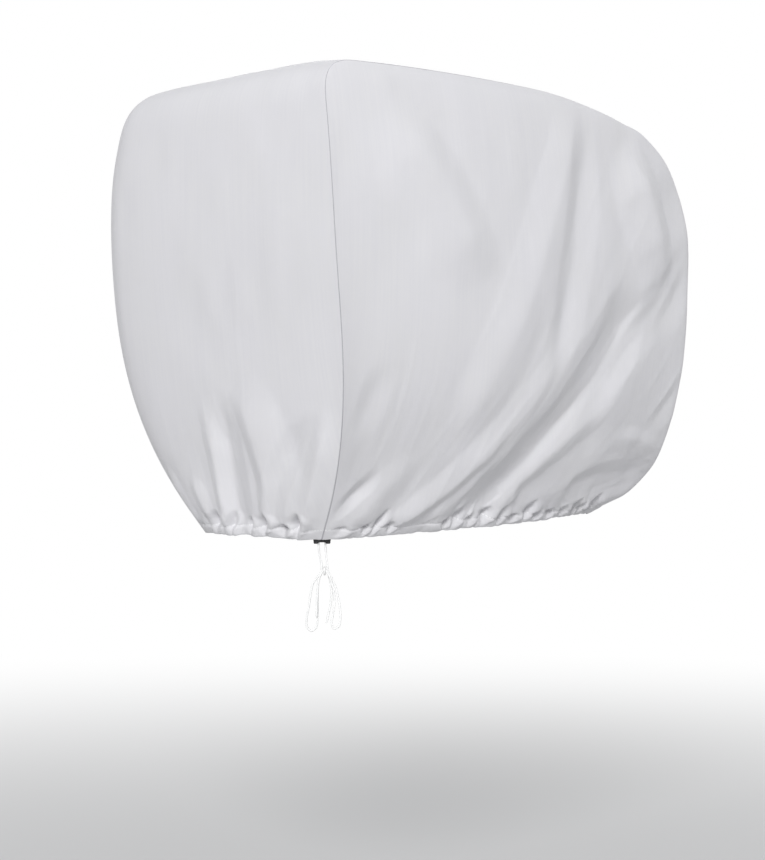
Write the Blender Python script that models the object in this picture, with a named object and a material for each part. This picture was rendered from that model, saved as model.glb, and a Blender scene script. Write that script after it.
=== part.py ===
"""Fitted cloth cover for an outboard motor cowling, with a drawstring, its bow and a cord lock.

Metres, +Z up. +X points forward to the boat, +Y to port. The origin is inside the cover, under the
middle of its top, where the motor's cowling holds it up.
"""

import math
import random

import bmesh
import bpy
import numpy as np
from mathutils import Vector

# Cloth
CLOTH = 0.002  # thickness of a panel
HEM_THICK = 0.0048  # thickness at the turned-in drawstring channel
HEM_HEIGHT = 0.012
HEM_RUN = 0.010  # height over which the channel thins down to the plain cloth
SEAM_GAP = 0.0004  # left between two panels along their seam

# Rows and columns of the panels' meshes
ROWS = 22  # from hem to top edge
SIDE_COLUMNS = 26
CENTRE_COLUMNS = 14
PINCH = 0.42  # how much closer the rows and columns lie at the edges of a panel
SMALLEST_RISE = 0.0001

# Shape of the hem, seen from below
HEM_ROUND = 0.011  # how far the hem turns out beside each seam
HEM_TURN = 45.0  # degrees through which it turns there
HEM_SIDE_BULGE = 0.030  # how much further the hem of a side panel stands out in its middle
HEM_END_BULGE = 0.020  # the same at the rear and the front
HEM_BELLY = 0.11  # height over which a side panel grows out of its hem
HEM_FLATNESS = 2.4  # above 2, the middle of the side hem is flatter than a parabola

# Below this height the rear and the front bulge straight out, and not square to their slope
LEVEL_BULGE_START, LEVEL_BULGE_RUN = -0.38, 0.10
END_FLATNESS = 2.2  # the same as HEM_FLATNESS, across the centre panel

# Rounding of a side panel next to its seams
SIDE_CROWN = 0.005
TURN_REAR, TURN_FRONT, TURN_TOP = 45.0, 65.0, 68.0  # degrees through which the panel turns at a seam
RISE_REAR, RISE_FRONT = 0.013, 0.018  # how far it has risen once it is flat

# The rear port corner of the top has slumped
SLUMP_CENTRE = (-0.368, 0.205, -0.035)
SLUMP_PUSH = (0.005, -0.006, -0.009)
SLUMP_REACH = 0.060

# The seam between a side panel and the centre panel, seen from the side: its corners from the rear hem
# over the top to the front hem. "reach" is how far from a corner its rounding starts, and "bow" is how
# far the run from this corner to the next one bows outward.
CORNER_COLUMNS = ("name", "x", "z", "reach", "bow")
CORNER_ROWS = (
    ("rear foot", -0.295, -0.578, 0.0, 0.030),
    ("rear top", -0.368, -0.015, 0.045, 0.005),
    ("top break", 0.100, -0.008, 0.095, 0.0),
    ("shoulder", 0.332, -0.075, 0.140, 0.004),
    ("front low", 0.304, -0.520, 0.050, 0.0),
    ("front foot", 0.212, -0.563, 0.0, 0.0),
)
REAR_FOOT, REAR_TOP, TOP_BREAK, SHOULDER, FRONT_LOW, FRONT_FOOT = (
    dict(zip(CORNER_COLUMNS, row)) for row in CORNER_ROWS
)
RUN_STEPS, ROUND_STEPS = 24, 12  # straight steps in a run and in the rounding of a corner

# Half width of the cover from seam to seam
WIDEST_HEIGHT = -0.26
WIDEST_REAR, WIDEST_FRONT = 0.212, 0.198
FOOT_HALF, FOOT_POWER = 0.110, 2.6  # at the hem; a higher power keeps the cover wide for longer
TOP_HALF, TOP_POWER = 0.188, 2.5  # at the ends of the top
TOP_BULGE = 0.012  # how much wider the top is in its middle

# The centre panel beside its seams, at shares of the seam's length from the rear hem. "edge" is how far
# it rises beside the seam, "crown" how much more in its middle, and "turn" the angle in degrees at
# which it leaves the seam.
RIM_COLUMNS = ("share", "edge", "crown", "turn")
RIM_ROWS = (
    (0.00, HEM_ROUND, HEM_END_BULGE, 45),
    (0.06, 0.012, 0.014, 45),
    (0.15, 0.015, 0.009, 45),
    (0.27, 0.015, 0.006, 45),
    (0.31, 0.007, 0.004, 40),
    (0.35, 0.002, 0.007, 22),
    (0.62, 0.002, 0.007, 22),
    (0.71, 0.004, 0.010, 25),
    (0.85, 0.004, 0.015, 25),
    (0.93, 0.007, 0.021, 40),
    (1.00, HEM_ROUND, HEM_END_BULGE, 45),
)

# Folds. "width" and "height" are in millimetres, and "height" is negative for a trough. "steep" above 0
# makes the flank on the right of the fold the steeper one, as seen from outside. "start" and "end" are
# shares of the panel: (from rear to front, from top to hem) on a side panel, and (from the middle to
# port, from top to hem) on the rear and the front. "bow" is the fold's sag in shares of its length.
FOLD_COLUMNS = ("panel", "width", "height", "steep", "start", "end", "bow")
FOLD_ROWS = (
    ("starboard", 36, 5, 0.3, (0.10, 0.12), (0.34, 0.44), 0.04),
    ("starboard", 26, 6, 0.3, (0.63, 0.08), (0.42, 0.58), 0.04),
    ("starboard", 22, -5, 0.0, (0.68, 0.10), (0.58, 0.62), 0.03),
    ("starboard", 32, 7, 0.4, (0.74, 0.12), (0.84, 0.42), 0.04),
    ("starboard", 26, -5, 0.0, (0.88, 0.16), (0.94, 0.36), 0.04),
    ("starboard", 24, -10, -0.2, (0.80, 0.48), (0.40, 0.93), 0.02),
    ("starboard", 20, 7, 0.2, (0.87, 0.46), (0.48, 0.93), 0.02),
    ("starboard", 16, -5, 0.2, (0.96, 0.38), (0.80, 0.62), 0.00),
    ("starboard", 20, -6, 0.0, (0.75, 0.72), (0.58, 0.90), 0.00),
    ("starboard", 20, 5, 0.2, (0.52, 0.66), (0.28, 0.94), 0.04),
    ("starboard", 16, -5, 0.0, (0.45, 0.72), (0.20, 0.93), 0.04),
    ("starboard", 20, -7, 0.2, (0.94, 0.83), (0.70, 0.93), -0.05),
    ("starboard", 14, -4, 0.0, (0.12, 0.63), (0.08, 0.78), 0.00),
    ("starboard", 14, -5, 0.0, (0.17, 0.86), (0.09, 0.96), 0.00),
    ("rear", 16, 5, 0.2, (0.38, 0.70), (0.26, 1.00), 0.03),
    ("rear", 18, -7, 0.0, (0.02, 0.70), (-0.04, 1.00), 0.06),
    ("rear", 14, 5, 0.0, (-0.22, 0.74), (-0.20, 1.00), 0.00),
    ("rear", 20, -6, 0.2, (-0.66, 0.74), (-0.34, 1.00), 0.08),
    ("rear", 14, -4, 0.0, (0.78, 0.84), (0.60, 1.00), 0.00),
    ("port", 26, 7, 0.2, (0.80, 0.38), (0.45, 0.95), -0.03),
    ("port", 22, -8, 0.0, (0.70, 0.44), (0.35, 0.96), -0.03),
    ("port", 20, -6, 0.0, (0.90, 0.53), (0.62, 0.98), -0.04),
    ("port", 34, 5, 0.0, (0.10, 0.20), (0.30, 0.47), 0.00),
    ("port", 28, 5, 0.0, (0.65, 0.09), (0.75, 0.39), 0.00),
    ("port", 22, -6, 0.0, (0.24, 0.74), (0.24, 0.98), 0.04),
    ("port", 20, 5, 0.0, (0.16, 0.77), (0.20, 0.98), 0.00),
    ("front", 26, -7, 0.0, (0.50, 0.46), (0.40, 0.88), 0.00),
    ("front", 24, 6, 0.0, (-0.10, 0.56), (0.00, 0.95), 0.00),
    ("front", 24, -7, 0.0, (-0.55, 0.49), (-0.45, 0.93), 0.00),
)
END_REACH = 0.165  # half the width of the rear and the front over which their folds' shares run
FOLD_START, FOLD_END = 0.25, 0.15  # shares of a fold's length over which it grows and dies away
FOLD_START_SHOWS, FOLD_END_SHOWS = 0.15, 0.4  # above 0, so a fold is not quite flat at its ends
FOLD_STEPS = 24  # straight steps that stand for a fold's curved path
SEAM_CLEAR = 0.028  # folds and gathers fade out this close to a seam
GATHER = 0.0035  # how far the hem puckers in and out
GATHER_HEIGHT = 0.07

# Drawstring: (right, up, in) in millimetres from the foot of the rear starboard seam. "right" is seen
# from outside that corner, "up" is up and "in" goes in under the cover.
CORD_RADIUS = 0.0013
CORD_STEP = 0.0042  # between two points of a cord's tube
FOOT_IN = 0.0130  # the hanging cords lie this far in from the hem's corner
CORD_A = (
    (-18.0, 8.0, -9.2),
    (-15.0, 14.4, -8.6),
    (-9.8, 18.0, -4.4),
    (-5.2, 14.8, -0.8),
    (-4.2, 8.5, 0.0),
    (-4.2, 1.5, 0.0),
    (-4.2, -6.5, 0.0),
    (-3.3, -18.0, 0.0),
    (-0.4, -32.0, 0.0),
    (-1.0, -39.0, -0.2),
    (-5.5, -46.0, 0.0),
    (-10.5, -53.0, 0.0),
    (-14.0, -68.0, 0.0),
    (-16.5, -84.0, 0.0),
    (-18.8, -97.0, 0.5),
    (-18.6, -106.0, 1.0),
    (-13.6, -111.5, 1.5),
    (-8.0, -108.5, 1.5),
    (-5.8, -98.0, 1.2),
    (-5.6, -75.0, 1.2),
    (-5.0, -57.0, 1.6),
    (-3.2, -47.0, 2.6),
    (-1.0, -41.9, 3.2),
    (1.0, -39.0, 2.7),
    (3.0, -38.1, 2.3),
    (5.0, -39.0, 2.7),
    (7.0, -42.2, 3.2),
    (9.4, -50.0, 2.2),
    (11.2, -62.0, 1.0),
    (10.8, -76.0, 0.5),
    (8.0, -90.0, 0.0),
    (5.2, -102.0, 0.0),
)
CORD_B = (
    (18.0, 8.0, -10.9),
    (15.0, 14.4, -8.0),
    (9.8, 18.0, -4.2),
    (5.2, 14.8, -0.8),
    (4.2, 8.5, 0.0),
    (4.2, 1.5, 0.0),
    (4.2, -6.5, 0.0),
    (4.8, -18.0, 0.0),
    (6.4, -32.0, 0.0),
    (7.4, -39.5, 0.2),
    (11.4, -46.5, 0.5),
    (15.2, -55.0, 0.0),
    (19.4, -70.0, -0.5),
    (22.0, -86.0, -1.0),
    (22.2, -98.0, -1.5),
    (19.6, -106.5, -2.0),
    (14.6, -108.5, -2.5),
    (11.8, -103.0, -2.8),
    (13.2, -92.0, -3.0),
    (15.2, -78.0, -3.2),
    (14.6, -65.0, -3.4),
    (12.2, -54.0, -3.6),
    (9.4, -45.5, -3.8),
    (7.0, -41.4, -3.4),
    (5.0, -38.6, -2.6),
    (3.0, -37.7, -1.9),
    (1.0, -38.6, -2.6),
    (-1.0, -41.4, -3.4),
    (-3.8, -49.0, -3.6),
    (-5.2, -60.0, -3.2),
    (-6.2, -78.0, -2.8),
    (-6.6, -94.0, -2.6),
)
WRAP_CENTRE = (3.0, -38.4, 0.2)
WRAP_HIGH, WRAP_DEEP = 4.3, 5.6  # half sizes of the wrap's centreline, in millimetres
WRAP_POINTS = 20

# Cord lock, a moulded block with two bores and a foot at each end
LOCK_WIDE, LOCK_DEEP = 0.0210, 0.0120
LOCK_TOP, LOCK_BOTTOM = 0.0085, -0.0035
LOCK_FOOT = 0.0018
LOCK_FOOT_WIDE = 0.0062
LOCK_BORE = 0.0034
LOCK_BORE_SPACING = 0.0084
LOCK_EDGE = 0.0018  # rounding of the block's edges
LOCK_FOOT_EDGE = 0.0012
LOCK_FOOT_INSET = 0.0003  # a foot stands in from the block's end by this, and by four times this in depth
LOCK_FOOT_LAP = 0.004  # how far a foot reaches up into the block

COLOURS = {
    "cloth": (0.70, 0.70, 0.72, 1.0),
    "cord": (0.85, 0.85, 0.84, 1.0),
    "plastic": (0.02, 0.02, 0.022, 1.0),
}


def clear_scene():
    for item in list(bpy.data.objects):
        bpy.data.objects.remove(item, do_unlink=True)


def new_collection(name):
    made = bpy.data.collections.new(name)
    bpy.context.scene.collection.children.link(made)
    return made


def material(name, colour, roughness):
    made = bpy.data.materials.new(name)
    made.use_nodes = True
    shader = made.node_tree.nodes["Principled BSDF"]
    shader.inputs["Base Color"].default_value = colour
    shader.inputs["Roughness"].default_value = roughness
    return made


# Curves through tables


def spread(count):
    """Fractions from 0 to 1, closer together near both ends."""
    t = np.linspace(0.0, 1.0, count + 1)
    return t - PINCH * np.sin(2 * np.pi * t) / (2 * np.pi)


def lengths_along(points):
    steps = np.linalg.norm(np.diff(points, axis=0), axis=1)
    return np.concatenate([[0.0], np.cumsum(steps)])


def through(knots, values, at):
    """A smooth curve through every row of values, which lie at knots, read at each number of at."""
    slopes = np.gradient(values, knots, axis=0, edge_order=1)
    i = np.clip(np.searchsorted(knots, at, side="right") - 1, 0, len(knots) - 2)
    step = (knots[i + 1] - knots[i])[:, None]
    t = (at - knots[i])[:, None] / step
    return (
        (2 * t**3 - 3 * t**2 + 1) * values[i]
        + (t**3 - 2 * t**2 + t) * step * slopes[i]
        + (3 * t**2 - 2 * t**3) * values[i + 1]
        + (t**3 - t**2) * step * slopes[i + 1]
    )


def ease(t):
    t = np.clip(t, 0.0, 1.0)
    return t * t * (3 - 2 * t)


def arc_rise(distance, rise, turn):
    """Height of an arc that leaves a seam at an angle of turn degrees and is flat once it has risen."""
    angle = np.radians(turn)
    radius = np.maximum(rise, SMALLEST_RISE) / (1 - np.cos(angle))
    reach = radius * np.sin(angle)
    left = np.clip(reach - distance, 0.0, None)
    return np.sqrt(np.maximum(radius**2 - left**2, 0.0)) - radius * np.cos(angle)


# The seam and the smooth panels


def bowed(start, end, bow, shares):
    """Points between two places, bowed to the left of the way from start to end."""
    start, end = np.array(start), np.array(end)
    way = end - start
    left = np.array([-way[1], way[0]]) / np.linalg.norm(way)
    t = shares[:, None]
    return start + t * way + left * bow * 4 * t * (1 - t)


def seam_outline():
    """The seam seen from the side, and the points of it where a side panel's top begins and ends."""
    corners = (REAR_FOOT, REAR_TOP, TOP_BREAK, SHOULDER, FRONT_LOW, FRONT_FOOT)
    spots = [np.array([corner["x"], corner["z"]]) for corner in corners]
    outline = np.zeros((0, 2))
    turns = {}
    for k, corner in enumerate(corners[:-1]):
        length = np.linalg.norm(spots[k + 1] - spots[k])
        shares = np.linspace(
            corner["reach"] / length, 1 - corners[k + 1]["reach"] / length, RUN_STEPS + 1
        )
        run = bowed(spots[k], spots[k + 1], corner["bow"], shares)
        if k > 0:
            turns[corner["name"]] = len(outline)
            t = np.linspace(0.0, 1.0, ROUND_STEPS + 1)[1:-1, None]
            rounding = (1 - t) ** 2 * outline[-1] + 2 * t * (1 - t) * spots[k] + t**2 * run[0]
            outline = np.concatenate([outline, rounding])
        outline = np.concatenate([outline, run])
    return outline, turns["rear top"] + ROUND_STEPS // 2 - 1, turns["shoulder"] - 1


def half_width(x, z):
    """Half the distance between the two seams at a place of the seam."""
    share = (x - REAR_TOP["x"]) / (SHOULDER["x"] - REAR_TOP["x"])
    widest = WIDEST_REAR + (WIDEST_FRONT - WIDEST_REAR) * share
    top = TOP_HALF + TOP_BULGE * (1 - (2 * share - 1) ** 2)
    foot = REAR_FOOT["z"] + (FRONT_FOOT["z"] - REAR_FOOT["z"]) * share
    risen = np.clip((z - WIDEST_HEIGHT) / (REAR_TOP["z"] - WIDEST_HEIGHT), 0.0, 1.0)
    dropped = np.clip((WIDEST_HEIGHT - z) / (WIDEST_HEIGHT - foot), 0.0, 1.0)
    drawn_in = (widest - FOOT_HALF) * dropped**FOOT_POWER
    return widest + (top - widest) * risen**TOP_POWER - drawn_in


def seam_table():
    """The seam's columns, sampled so that its rows meet the rows and columns of the panels."""
    outline, rear_turn, front_turn = seam_outline()
    along = lengths_along(outline)
    x, z = outline.T
    rim = np.array(RIM_ROWS, float)
    columns = {"x": x, "z": z, "half_width": half_width(x, z)}
    for name, values in zip(RIM_COLUMNS[1:], rim[:, 1:].T):
        columns[name] = np.interp(along / along[-1], rim[:, 0], values)
    table = np.stack(list(columns.values()), axis=1)
    run = lengths_along(table[:, :3])
    rear_corner, front_corner = run[rear_turn], run[front_turn]
    up = spread(ROWS)
    rear = up * rear_corner
    top = rear_corner + spread(SIDE_COLUMNS) * (front_corner - rear_corner)
    front = front_corner + (1 - up[::-1]) * (run[-1] - front_corner)
    at = np.concatenate([rear, top[1:], front[1:]])
    return dict(zip(columns, through(run, table, at).T))


def seam_points(seam, side):
    """The seam as points, side -1 for starboard and 1 for port."""
    return np.stack([seam["x"], side * seam["half_width"], seam["z"]], axis=1)


def slump(grid):
    """Pushes the points near the rear port corner of the top down and in."""
    off = np.linalg.norm(grid - np.array(SLUMP_CENTRE), axis=-1, keepdims=True)
    return grid + np.array(SLUMP_PUSH) * np.exp(-((off / SLUMP_REACH) ** 2))


def side_hem(start, end, u, side):
    """The lower edge of a side panel, which bulges between the feet of its two seams."""
    hem = start + u[:, None] * (end - start)
    from_end = np.minimum(hem[:, 0] - start[0], end[0] - hem[:, 0])
    bulge = HEM_SIDE_BULGE * (1 - np.abs(2 * u - 1) ** HEM_FLATNESS)
    hem[:, 1] += side * (arc_rise(from_end, HEM_ROUND, HEM_TURN) + bulge)
    return hem


def side_surface(seam, side):
    """Grid of points, columns from rear to front and rows from hem to top edge."""
    points = seam_points(seam, side)
    rear = points[: ROWS + 1]
    top = points[ROWS : ROWS + SIDE_COLUMNS + 1]
    front = points[ROWS + SIDE_COLUMNS :][::-1]
    u = spread(SIDE_COLUMNS)
    v = spread(ROWS)
    hem = side_hem(rear[0], front[0], u, side)

    # A surface that fills the four edges
    across, up = u[:, None, None], v[None, :, None]
    between_seams = (1 - across) * rear[None] + across * front[None]
    between_edges = (1 - up) * hem[:, None] + up * top[:, None]
    low_corners = (1 - across) * rear[0] + across * front[0]
    high_corners = (1 - across) * rear[-1] + across * front[-1]
    grid = between_seams + between_edges - (1 - up) * low_corners - up * high_corners

    # It turns outward beside each seam and is slightly crowned
    from_rear = np.linalg.norm(grid - rear[None], axis=2)
    from_front = np.linalg.norm(grid - front[None], axis=2)
    from_top = np.linalg.norm(grid - top[:, None], axis=2)
    rise = RISE_REAR + (RISE_FRONT - RISE_REAR) * u[:, None]
    out = arc_rise(from_rear, rise, TURN_REAR) / rise
    out = out * arc_rise(from_front, rise, TURN_FRONT) / rise
    out = out * arc_rise(from_top, rise, TURN_TOP)
    crown = np.sqrt(np.abs(np.sin(np.pi * u[:, None]) * np.sin(np.pi * v[None, :])))
    above_hem = np.linalg.norm(grid - hem[:, None], axis=2)
    grid[..., 1] += side * (out + SIDE_CROWN * crown) * ease(above_hem / HEM_BELLY)
    return slump(grid)


def centre_surface(seam):
    """Grid of points, rows along the strip from rear hem to front hem and columns from starboard to port."""
    x, z, half = seam["x"], seam["z"], seam["half_width"][:, None]
    tangent = np.stack([np.gradient(x), np.gradient(z)], axis=1)
    tangent /= np.linalg.norm(tangent, axis=1)[:, None]
    level = ease((LEVEL_BULGE_START - z) / LEVEL_BULGE_RUN)[:, None]
    upright = np.stack([np.zeros_like(z), np.sign(tangent[:, 1])], axis=1)
    tangent = tangent + (upright - tangent) * level
    q = 2 * spread(CENTRE_COLUMNS)[None, :] - 1
    y = half * q
    out = arc_rise(half - np.abs(y), seam["edge"][:, None], seam["turn"][:, None])
    out = out + seam["crown"][:, None] * (1 - np.abs(q) ** END_FLATNESS)
    grid = np.stack(
        [x[:, None] - tangent[:, 1:] * out, y, z[:, None] + tangent[:, :1] * out],
        axis=2,
    )
    return slump(grid)


# Folds


def panel_place(panel, share):
    """Turns shares of a panel into its two coordinates in metres."""
    across, down = share
    height = down * REAR_FOOT["z"]
    if panel in ("rear", "front"):
        return across * END_REACH, height
    return REAR_TOP["x"] + across * (SHOULDER["x"] - REAR_TOP["x"]), height


def fold_height(a, b, fold):
    """Height of one fold at points (a, b) of its panel."""
    start = panel_place(fold["panel"], fold["start"])
    end = panel_place(fold["panel"], fold["end"])
    sag = fold["bow"] * math.dist(start, end)
    fine = bowed(start, end, sag, np.linspace(0.0, 1.0, FOLD_STEPS + 1))
    nearest = np.full(a.shape, np.inf)
    signed = np.zeros(a.shape)
    along = np.zeros(a.shape)
    for k in range(FOLD_STEPS):
        start, step = fine[k], fine[k + 1] - fine[k]
        t = ((a - start[0]) * step[0] + (b - start[1]) * step[1]) / np.dot(step, step)
        t = np.clip(t, 0, 1)
        da = a - start[0] - t * step[0]
        db = b - start[1] - t * step[1]
        off = np.hypot(da, db)
        closer = off < nearest
        nearest = np.where(closer, off, nearest)
        signed = np.where(closer, np.sign(step[0] * db - step[1] * da) * off, signed)
        along = np.where(closer, (k + t) / FOLD_STEPS, along)
    width = 0.001 * fold["width"] * (1 + fold["steep"] * np.sign(signed))
    ends = ease(FOLD_START_SHOWS + along / FOLD_START)
    ends = ends * ease(FOLD_END_SHOWS + (1 - along) / FOLD_END)
    return 0.001 * fold["height"] * ends * np.exp(-((signed / width) ** 2))


def folds_on(panel, a, b):
    """All the folds of one panel together."""
    height = np.zeros(a.shape)
    for row in FOLD_ROWS:
        fold = dict(zip(FOLD_COLUMNS, row))
        if fold["panel"] == panel:
            height = height + fold_height(a, b, fold)
    return height


def pucker(grid, panel):
    """Uneven gathers that run up from the hem, one value for each column, fading with height."""
    rng = random.Random(panel)
    values = [rng.uniform(0.1, 1.0) * (1 if k % 2 else -0.8) for k in range(grid.shape[0])]
    values[0] = values[-1] = 0.0
    above = grid[..., 2] - grid[:, :1, 2]
    return GATHER * np.array(values)[:, None] * ease(1 - above / GATHER_HEIGHT)


def normals_of(grid):
    """Unit normals of a grid of points, each the mean of the faces around it."""
    faces = np.cross(grid[1:, 1:] - grid[:-1, :-1], grid[:-1, 1:] - grid[1:, :-1])
    normal = np.zeros_like(grid)
    for i in (slice(0, -1), slice(1, None)):
        for j in (slice(0, -1), slice(1, None)):
            normal[i, j] += faces
    return normal / np.linalg.norm(normal, axis=2, keepdims=True)


def away_from_seams(grid, seams):
    """0 at each seam, and 1 a little way in from it."""
    keep = np.ones(grid.shape[:2])
    for seam in seams:
        keep = keep * ease(np.linalg.norm(grid - seam, axis=2) / SEAM_CLEAR)
    return keep


def folded_side(grid, side, panel):
    height = pucker(grid, panel) + folds_on(panel, grid[..., 0], grid[..., 2])
    height = height * away_from_seams(grid, (grid[:1], grid[-1:], grid[:, -1:]))
    return grid - side * normals_of(grid) * height[..., None]


def folded_centre(grid):
    middle = grid.shape[0] // 2
    rear, front = grid[:middle], grid[middle:]
    rear_height = pucker(rear.transpose(1, 0, 2), "rear").T
    rear_height = rear_height + folds_on("rear", rear[..., 1], rear[..., 2])
    front_height = pucker(front[::-1].transpose(1, 0, 2), "front").T[::-1]
    front_height = front_height + folds_on("front", front[..., 1], front[..., 2])
    height = np.concatenate([rear_height, front_height])
    height = height * away_from_seams(grid, (grid[:, :1], grid[:, -1:]))
    return grid + normals_of(grid) * height[..., None]


# Panels with thickness


def thickness(above_hem):
    """Panel thickness: the hem's channel, then a short run down to the plain cloth."""
    return HEM_THICK + (CLOTH - HEM_THICK) * ease((above_hem - HEM_HEIGHT) / HEM_RUN)


def panel_object(name, panel, collection, look):
    """A closed solid between the panel's outer surface and the same surface moved in by its thickness."""
    outer = panel["outer"] + panel["part"]
    inner = outer - panel["outward"] * panel["thick"][..., None]
    rows, columns = outer.shape[:2]
    count = rows * columns
    index = np.arange(count).reshape(rows, columns)
    quads = np.stack([index[:-1, :-1], index[1:, :-1], index[1:, 1:], index[:-1, 1:]], axis=2)
    quads = quads.reshape(-1, 4)
    facing = np.cross(outer[1, 0] - outer[0, 0], outer[0, 1] - outer[0, 0])
    if np.dot(facing, panel["outward"][0, 0]) < 0:
        quads = quads[:, ::-1]
    faces = quads.tolist() + (quads[:, ::-1] + count).tolist()
    directed = {(quad[k - 1], quad[k]) for quad in faces for k in range(4)}
    rim = np.concatenate([index[:-1, 0], index[-1, :-1], index[:0:-1, -1], index[0, :0:-1]]).tolist()
    for a, b in zip(rim, rim[1:] + rim[:1]):
        if (a, b) not in directed:
            a, b = b, a
        faces.append((b, a, a + count, b + count))
    mesh = bpy.data.meshes.new(name)
    mesh.from_pydata(np.concatenate([outer.reshape(-1, 3), inner.reshape(-1, 3)]).tolist(), [], faces)
    mesh.materials.append(look)
    collection.objects.link(bpy.data.objects.new(name, mesh))


def seam_cell(k):
    """Where point k of the seam lies in a side panel's grid."""
    if k <= ROWS:
        return 0, k
    if k <= ROWS + SIDE_COLUMNS:
        return k - ROWS, ROWS
    return SIDE_COLUMNS, 2 * ROWS + SIDE_COLUMNS - k


def mitre(side_panel, centre_panel, side, column):
    """Gives two panels one direction and one thickness along their seam, and moves their edges apart."""
    along = np.gradient(centre_panel["outer"][:, column], axis=0)
    for k, direction in enumerate(along):
        cell = seam_cell(k)
        shared = side_panel["outward"][cell] + centre_panel["outward"][k, column]
        shared /= np.linalg.norm(shared)
        across = np.cross(direction, shared)
        across *= side * np.sign(across[1]) * SEAM_GAP / 2 / np.linalg.norm(across)
        side_panel["outward"][cell] = shared
        side_panel["part"][cell] = across
        side_panel["thick"][cell] = centre_panel["thick"][k, column]
        centre_panel["outward"][k, column] = shared
        centre_panel["part"][k, column] = -across


def centre_panel_parts(seam):
    outer = folded_centre(centre_surface(seam))
    middle = outer.shape[0] // 2
    height = outer[..., 2]
    above = np.concatenate([height[:middle] - height[:1], height[middle:] - height[-1:]])
    return {
        "outer": outer,
        "outward": normals_of(outer),
        "thick": thickness(above),
        "part": np.zeros_like(outer),
    }


def side_panel_parts(seam, side, panel):
    outer = folded_side(side_surface(seam, side), side, panel)
    return {
        "outer": outer,
        "outward": -side * normals_of(outer),
        "thick": thickness(outer[..., 2] - outer[:, :1, 2]),
        "part": np.zeros_like(outer),
    }


def build_panels(collection, look):
    """Makes the three panels and gives the foot of the rear starboard seam."""
    seam = seam_table()
    centre = centre_panel_parts(seam)
    for side, panel, column in ((-1, "starboard", 0), (1, "port", CENTRE_COLUMNS)):
        parts = side_panel_parts(seam, side, panel)
        mitre(parts, centre, side, column)
        panel_object(f"side_panel_{panel}", parts, collection, look)
    panel_object("centre_panel", centre, collection, look)
    return seam_points(seam, -1)[0]


# Drawstring


def cord_frame(foot):
    """Turns (right, up, in) millimetres at the seam's foot into a place in the part."""
    half = math.sqrt(0.5)

    def place(row):
        right, up, inward = (n * 0.001 for n in row)
        inward += FOOT_IN
        return Vector(
            (
                foot[0] + half * (right + inward),
                foot[1] + half * (inward - right),
                foot[2] + up,
            )
        )

    return place


def tube(name, points, closed, collection, look):
    curve = bpy.data.curves.new(name, "CURVE")
    curve.dimensions = "3D"
    curve.bevel_depth = CORD_RADIUS
    curve.bevel_resolution = 2
    curve.use_fill_caps = not closed
    spline = curve.splines.new("POLY")
    spline.points.add(len(points) - 1)
    for point, place in zip(spline.points, points):
        point.co = (*place, 1.0)
    spline.use_cyclic_u = closed
    curve.materials.append(look)
    made = bpy.data.objects.new(name, curve)
    collection.objects.link(made)
    return made


def cord(name, rows, place, collection, look):
    points = np.array([place(row) for row in rows])
    run = lengths_along(points)
    count = round(run[-1] / CORD_STEP)
    tube(name, through(run, points, np.linspace(0.0, run[-1], count + 1)), False, collection, look)


def wrap(place, collection, look):
    right, up, inward = WRAP_CENTRE
    points = []
    for k in range(WRAP_POINTS):
        angle = 2 * math.pi * k / WRAP_POINTS
        row = (right, up + WRAP_HIGH * math.sin(angle), inward + WRAP_DEEP * math.cos(angle))
        points.append(place(row))
    tube("bow_knot", points, True, collection, look)


# Cord lock


def mesh_object(name, shape, collection):
    mesh = bpy.data.meshes.new(name)
    shape.to_mesh(mesh)
    shape.free()
    made = bpy.data.objects.new(name, mesh)
    collection.objects.link(made)
    return made


def block(name, low, high, edge, collection):
    """A box with rounded edges, in (right, in, up) metres before it is placed."""
    shape = bmesh.new()
    bmesh.ops.create_cube(shape, size=1.0)
    for vertex in shape.verts:
        vertex.co = [low[i] + (vertex.co[i] + 0.5) * (high[i] - low[i]) for i in range(3)]
    bmesh.ops.bevel(
        shape, geom=list(shape.edges), offset=edge, segments=2, profile=0.5, affect="EDGES"
    )
    return mesh_object(name, shape, collection)


def bore(name, x, collection):
    shape = bmesh.new()
    radius = LOCK_BORE / 2
    long_enough = 2 * (LOCK_TOP - LOCK_BOTTOM + LOCK_FOOT)
    bmesh.ops.create_cone(
        shape, cap_ends=True, segments=16, radius1=radius, radius2=radius, depth=long_enough
    )
    bmesh.ops.translate(shape, verts=shape.verts, vec=(x, 0.0, 0.0))
    return mesh_object(name, shape, collection)


def cord_lock(place, collection, helpers, look):
    wide, deep = LOCK_WIDE / 2, LOCK_DEEP / 2
    body = block(
        "cord_lock", (-wide, -deep, LOCK_BOTTOM), (wide, deep, LOCK_TOP), LOCK_EDGE, collection
    )
    foot_half = LOCK_FOOT_WIDE / 2 - LOCK_FOOT_INSET
    foot_deep = deep - 4 * LOCK_FOOT_INSET
    for side in (-1, 1):
        middle = side * (wide - LOCK_FOOT_WIDE / 2)
        low = (middle - foot_half, -foot_deep, LOCK_BOTTOM - LOCK_FOOT)
        high = (middle + foot_half, foot_deep, LOCK_BOTTOM + LOCK_FOOT_LAP)
        join(body, block(f"lock_foot_{side}", low, high, LOCK_FOOT_EDGE, helpers), "UNION")
    for side in (-1, 1):
        join(body, bore(f"lock_bore_{side}", side * LOCK_BORE_SPACING / 2, helpers), "DIFFERENCE")
    corner = place((0.0, 0.0, 0.0))
    turn = place((1.0, 0.0, 0.0)) - corner
    for item in (body, *helpers.objects):
        item.rotation_euler = (0.0, 0.0, math.atan2(turn.y, turn.x))
        item.location = corner
    body.data.materials.append(look)


def join(body, other, how):
    step = body.modifiers.new(other.name, "BOOLEAN")
    step.object = other
    step.operation = how
    step.solver = "EXACT"


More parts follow.
